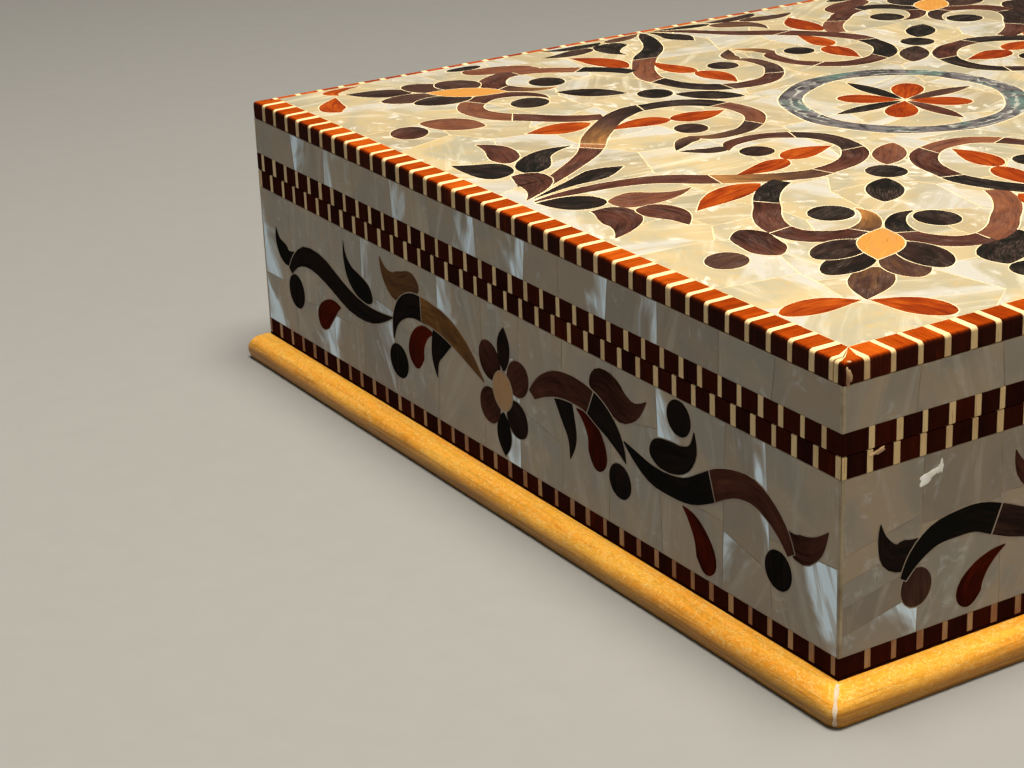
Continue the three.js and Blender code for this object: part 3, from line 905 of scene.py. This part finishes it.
def bandProfile(low, high, thick, rounded):
    # the band's section, outset and height; the edge band's outer arris is rounded as a quarter circle
    if not rounded:
        bevel, proud, soft = bands["bevel"], bands["proud"], bands["soft"]
        face = [(-bevel, low), (proud, low + soft), (proud, high - soft), (-bevel, high)]
        return np.array([(-thick, low), *face, (-thick, high)])
    turn = np.radians(np.linspace(0, 90, 7))
    arc = np.stack([-rounded + rounded * np.cos(turn), high - rounded + rounded * np.sin(turn)], axis=1)
    thin, slope = -bands["leftEdge"], bands["edgeFoot"]
    foot = [[-thick, low], [thin, low], [-slope, low], [0.0, low + slope]]
    return np.concatenate([foot, arc, [[thin, high], [-thick, high]]])


def bandBlocks(wall, profile, starts, stops, tone):
    # one block for each start and stop: four sections, the outer two a little smaller, cut off by the
    # mitre at the corners; the edge band's tone rises towards its rounded arris as a painted highlight
    bevel, endBevel = bands["bevel"], bands["endBevel"]
    along = np.stack([starts, starts + endBevel, stops - endBevel, stops], axis=1)
    along = along[:, :, None] + 0 * profile[None, None, :, 0]
    away = profile - profile.mean(axis=0)
    small = np.array([bevel, 0.0, 0.0, bevel])[:, None, None]
    shape = profile[None, :, :] - small * away[None] / np.linalg.norm(away, axis=1)[None, :, None]
    outset = shape[None, :, :, 0] + 0 * along
    height = shape[None, :, :, 1] + 0 * along
    place = wallNames.index(wall)
    ends = [wallHalf[wall] - bands["mitre"]
            + np.maximum(outset, -bands["leftEdge"] if wallNames[beside % 4] == "left" else -np.inf)
            for beside in (place - 1, place + 1)]
    along = np.clip(along, -ends[0], ends[1])
    points, faces = stackRings(onWall(wall, along, outset, height))
    number = np.arange(len(starts))[:, None, None] + 0 * along
    run = lengthAlong(profile)[None, None, :]
    uv = np.stack([run + number * bands["grainApart"], along + bands["grainStart"]], axis=-1)
    nearTop = np.clip((profile[:, 1] - profile[:, 1].max() + bands["arris"]) / bands["arris"], 0, 1)
    # painted highlight: the tone rises towards the top of the edge band's arris
    worn = bands["arrisPaintedHighlight"] * nearTop ** 3 * (profile[:, 0].min() < -2)
    tone = tone[:, None, None] + worn[None, None, :] + 0 * along
    return points, faces, {"uv": uv.reshape(-1, 2) * toMetres, "tone": tone.reshape(-1)}


def bandEdges(rowName, wall, first):
    # pale strips at an even pitch, each moved and widened a little by hand, and dark blocks between them
    first = first - bands["pitch"] * np.ceil((first + wallHalf[wall] - 1.0) / bands["pitch"])
    strips = first + bands["pitch"] * np.arange(bands["most"])
    strips = strips + rng.uniform(-bands["wander"], bands["wander"], len(strips))
    wide = bands["strip"] / 2 + rng.uniform(-bands["uneven"], bands["uneven"], len(strips))
    end = wallHalf[wall]
    pale = np.stack([np.maximum(strips - wide, -end), np.minimum(strips + wide, end)])
    pale = pale[:, pale[1] - pale[0] > bands["shortestStrip"]]
    if wall == "right" and rowName in ("lid_lower_band", "body_lower_band"):
        pale = pale[:, pale[1] > bands["firstStrip"]]  # by the near corner these begin with a dark block
    if wall == "front" and rowName == "lid_edge_band":
        pale = np.append(pale[:, :-1], bands["thinPair"], axis=1)  # and here the last strip is a thin pair
    dark = np.stack([np.append(-end, pale[1]), np.append(pale[0], end)])
    return {"dark": dark[:, dark[1] - dark[0] > bands["shortestBlock"]], "pale": pale}


bandParts = {"dark": {}, "pale": {}}
for rowName, (low, high, thick, frontStart, sideStart) in bands["rowsOf"].items():
    rounded = bands["arris"] if rowName == "lid_edge_band" else 0
    base = {"dark": 0.24 if rounded else 0.2, "pale": 0.06 if rowName == "body_lower_band" else 0.5}
    for wall in wallNames:
        thickness = bands["leftEdge"] + 0.01 if rounded and wall == "left" else thick
        profile = bandProfile(low, high, thickness, rounded)
        edges = bandEdges(rowName, wall, frontStart if wall in ("front", "back") else sideStart)
        for key, (begin, end) in edges.items():
            tone = base[key] + rng.uniform(-bands["toneSpread"], bands["toneSpread"], len(begin))
            gap = bands["seam"] / 2
            part = bandBlocks(wall, profile, begin + gap, end - gap, np.clip(tone, 0, 1))
            bandParts[key].setdefault(rowName, []).append(part)

fillet = {"low": 9.0, "high": 9.85, "thick": 1.5, "tone": 0.05, "reach": 200.0}  # reaches past both mitres
filletProfile = bandProfile(fillet["low"], fillet["high"], fillet["thick"], 0)
oneBlock = [np.array([value]) for value in (-fillet["reach"], fillet["reach"], fillet["tone"])]
filletParts = [bandBlocks(wall, filletProfile, *oneBlock) for wall in wallNames]
makePiece("base_fillet", *joinParts(filletParts), wallBlock, "banding")
# carries the pearl beside the narrow left band
bedEdge = {"x": (-146.9, -142.3), "halfY": 152.1, "z": (84.2, 89.75)}
x, y = np.array(bedEdge["x"])[[0, 1, 1, 0]], bedEdge["halfY"] * np.array([-1, -1, 1, 1])
bedRings = np.stack([pointsAt(x, y, level) for level in bedEdge["z"]])[None]
makePiece("top_bed_edge", *stackRings(bedRings), {}, topBed, "pearl")
for rowName in bands["rowsOf"]:
    blocks = edgeBlock if rowName == "lid_edge_band" else wallBlock
    darkPiece = makePiece(f"{rowName}_blocks", *joinParts(bandParts["dark"][rowName]), blocks, "banding")
    makePiece(f"{rowName}_strips", *joinParts(bandParts["pale"][rowName]), stripWood, "banding")
    for wall in wallNames:
        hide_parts(f"{rowName}_{wall}")
print("stage: banding")


moulding = {"height": 9.0, "outset": 6.4, "nose": 3.2, "undercut": 1.0, "wallSide": -11.5, "gap": 0.03,
            "cornerRadius": 3.4, "sharpRadius": 0.9, "zone": 6.0, "wave": 0.12, "waveTurn": 0.021,
            "ripple": 0.07, "rippleTurn": 0.083, "rubbed": 0.5, "grainApart": 700.0,
            "steps": {"crown": 13, "under": 7, "corner": 9, "middle": 41}}


def mouldingSection():
    # flat top back to the wall side, a quarter ellipse from the wall line down to the nose, and a curve
    # back under it
    m = moulding
    turn = np.radians(np.linspace(0, 90, m["steps"]["crown"]))
    rise = m["height"] - m["nose"]
    crown = np.stack([m["outset"] * np.sin(turn), m["nose"] + rise * np.cos(turn)], axis=1)
    t = np.linspace(0, 1, m["steps"]["under"])[1:]
    under = np.stack([m["outset"] - m["undercut"] * t ** 2, m["nose"] * (1 - t)], axis=1)
    return np.concatenate([[[m["wallSide"], m["height"]]], crown, under, [[m["wallSide"], 0.0]]])


def mouldingBar(wall):
    # the section carried along the wall, mitred at both ends, with the outer corner rounded off in plan
    # and the nose rubbed back by a slow wave and a quicker ripple
    m = moulding
    section = mouldingSection()
    outset, height = section[:, 0], section[:, 1]
    step = np.linspace(0, 1, m["steps"]["corner"])[:, None]
    reach = wallHalf[wall] + outset[None, :] - m["gap"]
    ends = []
    for worn in (wall == "right", wall == "front"):  # only the near corner is worn round
        radius = m["cornerRadius" if worn else "sharpRadius"] * fadeIn(0, m["outset"], outset)
        back = radius * (1 - np.sqrt(0.5)) * (1 - step) + m["zone"] * step
        kept = np.sqrt(np.clip(radius ** 2 - np.clip(radius - back, 0, None) ** 2, 0, None))
        ends.append((reach - back, np.where(back < radius, radius - kept, 0)))
    (first, firstInset), (last, lastInset) = ends
    middle = np.linspace(-first[-1], last[-1], m["steps"]["middle"])[1:-1]
    along = np.concatenate([-first, middle, last[::-1]])
    inset = np.concatenate([firstInset, 0 * middle, lastInset[::-1]])
    number = wallNames.index(wall)
    waves = m["wave"] * np.sin(along * m["waveTurn"] + number)
    waves = waves + m["ripple"] * np.sin(along * m["rippleTurn"])
    rubbed = np.where(outset > 1, m["rubbed"] * (waves + m["wave"] + m["ripple"]), 0)
    rings = onWall(wall, along, outset[None, :] - inset - rubbed, height[None, :] + 0 * along)
    uv = np.stack([along + m["grainApart"] * number, lengthAlong(section)[None, :] + 0 * along], axis=-1)
    return (*stackRings(rings[None]), {"uv": uv.reshape(-1, 2) * toMetres})


for wall in wallNames:
    bar = makePiece(f"moulding_{wall}", *mouldingBar(wall), beech, "moulding_wood", smoothAngle=50)
    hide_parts(f"base_moulding_{wall}")
print("stage: moulding")


# name, wall, middle along and up, half sizes along, up and out, how far proud, lean in degrees, waves
wear = [
    ("edge_corner_wear", "right", -158.4, 86.2, 0.9, 2.2, 0.25, 0.0, 4, 8),
    # the next two lumps on the rounded arris by the near corner are pale partly from wear and partly as a
    # painted highlight
    ("edge_arris_wear", "right", -157.4, 89.05, 1.5, 0.7, 0.45, -0.7, 0, 2),
    ("edge_arris_chip", "front", 147.2, 88.9, 1.2, 0.6, 0.4, -0.65, 0, 4),
    ("band_chip", "right", -149.3, 65.7, 2.3, 0.6, 0.3, 0.05, 12, 5),
    # a chip in the pearl and a flake beside it, their white a painted glint of the light they catch
    ("pearl_glint", "right", -133.6, 55.2, 3.4, 1.25, 0.12, 0.05, 26, 2),
    ("pearl_glint_edge", "right", -129.9, 56.8, 0.8, 1.7, 0.12, 0.05, -14, 9)]


patchLook = {"latSteps": 15, "lonSteps": 28, "lobes": 0.22, "ripples": 0.12, "grit": 0.07}


def wornPatch(wall, along, height, halfAlong, halfUp, halfOut, proud, lean, waves):
    # a flattened ball whose radius swells and shrinks by a few waves, its poles closed by the cleaning
    look = patchLook
    lat, lon = np.meshgrid(np.linspace(-np.pi / 2, np.pi / 2, look["latSteps"]),
                           np.linspace(0, 2 * np.pi, look["lonSteps"], endpoint=False), indexing="ij")
    swell = look["lobes"] * np.sin(3 * lon + waves) + look["ripples"] * np.sin(5 * lon + 2 * waves)
    swell = 1 + swell * np.cos(lat) + look["grit"] * np.sin(4 * lat + 7 * lon)
    radius = swell * np.cos(lat)
    right, up = halfAlong * radius * np.cos(lon), halfUp * radius * np.sin(lon)
    turn = np.radians(lean)
    points = onWall(wall, along + right * np.cos(turn) - up * np.sin(turn), proud + halfOut * np.sin(lat),
                    height + right * np.sin(turn) + up * np.cos(turn))
    return points.reshape(-1, 3), [quadsBetween(np.arange(lat.size).reshape(lat.shape))], {}


# pale lacquer: the wear and chips, and the painted highlight on the arris lumps
worn = glueMaterial("worn_lacquer_and_painted_highlight", (0.62, 0.46, 0.26), (0.20, 0.08, 0.04))
# broken nacre whose white is a painted highlight
glint = glueMaterial("broken_nacre", (0.95, 0.97, 1.0), (0.6, 0.6, 0.5))
for name, wall, *patch in wear:
    makePiece(name, *wornPatch(wall, *patch), glint if "glint" in name else worn, "pearl", smoothAngle=60)

mitre = {"halfWidth": 0.35, "swell": 0.25, "sink": 0.6, "proud": 0.06, "drop": 0.4, "lift": 0.05}


def mitreFiller():
    # a thin strip of filler along the moulding's near mitre: the section's outline, a little proud of it
    m = mitre
    section = mouldingSection()[2:-2]
    inset = moulding["cornerRadius"] * (1 - np.sqrt(0.5)) * fadeIn(0, moulding["outset"], section[:, 0])
    reach = section[:, 0] - inset
    corner = np.stack([wallHalf["front"] + reach, -wallOut["front"] - reach], axis=1)
    out, across = np.array([1.0, -1.0]) / np.sqrt(2), np.array([1.0, 1.0]) / np.sqrt(2)
    wide = (m["halfWidth"] + m["swell"] * np.sin(np.linspace(0, 9, len(section))) ** 2)[:, None] * across
    inner, outer = corner - out * m["sink"], corner + out * m["proud"]
    flat = np.stack([inner - wide, outer - wide, outer + wide, inner + wide], axis=1)
    lift = np.array([[-m["drop"], m["lift"], m["lift"], -m["drop"]]])
    return stackRings(np.concatenate([flat, (section[:, 1:2] + lift)[..., None]], axis=2)[None])


makePiece("mitre_filler", *mitreFiller(), {}, filler, "moulding_wood")
print("stage: wear")


def dress(node, material):
    # gives one of the boards the material that shows on it
    found = bpy.data.objects[node]
    for place in found.material_slots:
        place.material = material
    if not found.material_slots:
        found.data.materials.append(material)


wallBoards = {"body_board": carcass, "lid_board": carcass, "body_pearl": shadedWallBed, "lid_pearl": shadedWallBed}
for wall in wallNames:
    for stem, material in wallBoards.items():
        dress(f"{stem}_{wall}", material)
dress("lid_top_board", carcass)
dress("bottom_panel", carcass)
dress("lid_top_pearl", topBed)
print("stage: boards")


studio = {"floor": (0.256, 0.266, 0.276), "floorHalf": 2.6, "world": (0.90, 0.85, 0.78),
          "worldPower": 0.095}
lamps = {  # place, aim, width, height, colour, watts
    "overhead": ((0.14, -0.10, 1.35), (0, 0, 0.05), 0.6, 0.6, (1.0, 0.89, 0.73), 39.5),
    "windowLeft": ((-1.1, -1.3, 0.7), (0, 0, 0.05), 0.3, 0.9, (0.80, 0.89, 1.0), 0.9),
    "fillRight": ((1.6, 0.2, 0.7), (0, 0, 0.05), 0.8, 0.8, (1.0, 0.82, 0.58), 5.0)}
view = {"place": (0.53165, -0.47864, 0.28127), "along": (-0.79583, 0.48250, -0.36584),
        "down": (0.29267, -0.22241, -0.92999), "lens": 82.55, "sensor": 36.0}


def plainFloor():
    # a matt square under the box, hardly flecked
    material, wire, feed = newMaterial("studio_floor", Specular_IOR_Level=0.2)
    fleck = wire.node("TexCoord", out=3).noise(90.0)
    colour = fleck.mixed(studio["floor"], darker(studio["floor"], 0.94))
    feed(Base_Color=colour, Roughness=0.75 + fleck * 0.1)
    half = studio["floorHalf"]
    corners = [(-half, -half, 0), (half, -half, 0), (half, half, 0), (-half, half, 0)]
    mesh = bpy.data.meshes.new("floor")
    mesh.from_pydata(corners, [], [(0, 1, 2, 3)])
    mesh.materials.append(material)
    floor = bpy.data.objects.new("floor", mesh)
    bpy.context.scene.collection.objects.link(floor)


def softLamp(name, place, aim, width, height, colour, watts):
    # a square of light, turned from its place to its aim
    lamp = bpy.data.lights.new(name, "AREA")
    lamp.shape, lamp.size, lamp.size_y = "RECTANGLE", width, height
    lamp.color, lamp.energy = colour, watts
    made = bpy.data.objects.new(name, lamp)
    made.visible_glossy = False  # no square of the lamp mirrored in the lacquer
    made.location = place
    made.rotation_euler = (Vector(aim) - Vector(place)).to_track_quat("-Z", "Y").to_euler()
    bpy.context.scene.collection.objects.link(made)


plainFloor()
for name, values in lamps.items():
    softLamp(name, *values)
world = bpy.data.worlds.new("studio")
world.use_nodes = True
background = world.node_tree.nodes["Background"]
background.inputs["Color"].default_value = (*studio["world"], 1)
background.inputs["Strength"].default_value = studio["worldPower"]
bpy.context.scene.world = world
bpy.context.scene.view_settings.view_transform = "Standard"

camera = bpy.data.objects.new("camera", bpy.data.cameras.new("camera"))
camera.data.lens, camera.data.sensor_width = view["lens"], view["sensor"]
back, up = -Vector(view["along"]).normalized(), -Vector(view["down"]).normalized()
side = up.cross(back).normalized()
up = back.cross(side)
camera.matrix_world = Matrix.Translation(view["place"]) @ Matrix((side, up, back)).transposed().to_4x4()
bpy.context.scene.collection.objects.link(camera)
bpy.context.scene.camera = camera
print("stage: studio")
